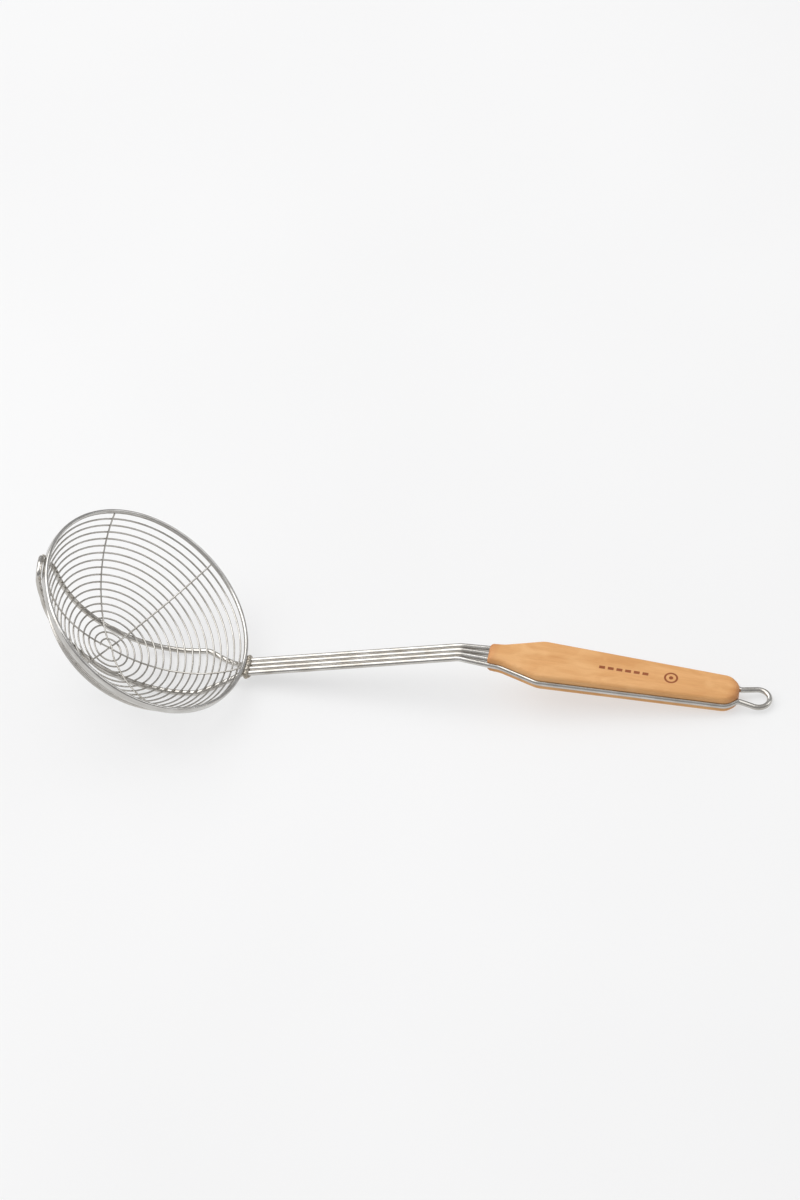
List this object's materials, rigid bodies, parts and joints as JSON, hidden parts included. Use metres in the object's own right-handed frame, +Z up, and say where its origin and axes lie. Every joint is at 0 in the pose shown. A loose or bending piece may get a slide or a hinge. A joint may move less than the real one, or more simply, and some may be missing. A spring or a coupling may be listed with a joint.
{
  "type": "wire skimmer with wooden handle",
  "caption": "Round spiral-wire strainer bowl with a folded metal rim, held on a bent double-wire frame with a tapered wooden handle and a hanging loop.",
  "frame": {"origin": "centre of the footprint, on the surface the tool lies on, in its steady resting pose", "axes": "+X along the tool's length, from the bowl to the hanging loop; +Z up; +Y to the left when looking from the bowl to the handle"},
  "size_m": [0.4355, 0.14, 0.0989],
  "materials": {
    "steel_wire": "polished",
    "steel_band": "polished",
    "weld": "satin",
    "wood": "matte"
  },
  "bodies": {
    "root": {"rim_band": "steel_band", "spiral_wire": "steel_wire", "spoke_wire_1": "steel_wire", "spoke_wire_2": "steel_wire", "spoke_wire_3": "steel_wire", "hook_wire": "steel_wire", "loop_wire": "steel_wire", "junction_weld": "weld", "front_welds": "weld", "handle": "wood"}
  },
  "joints": []
}
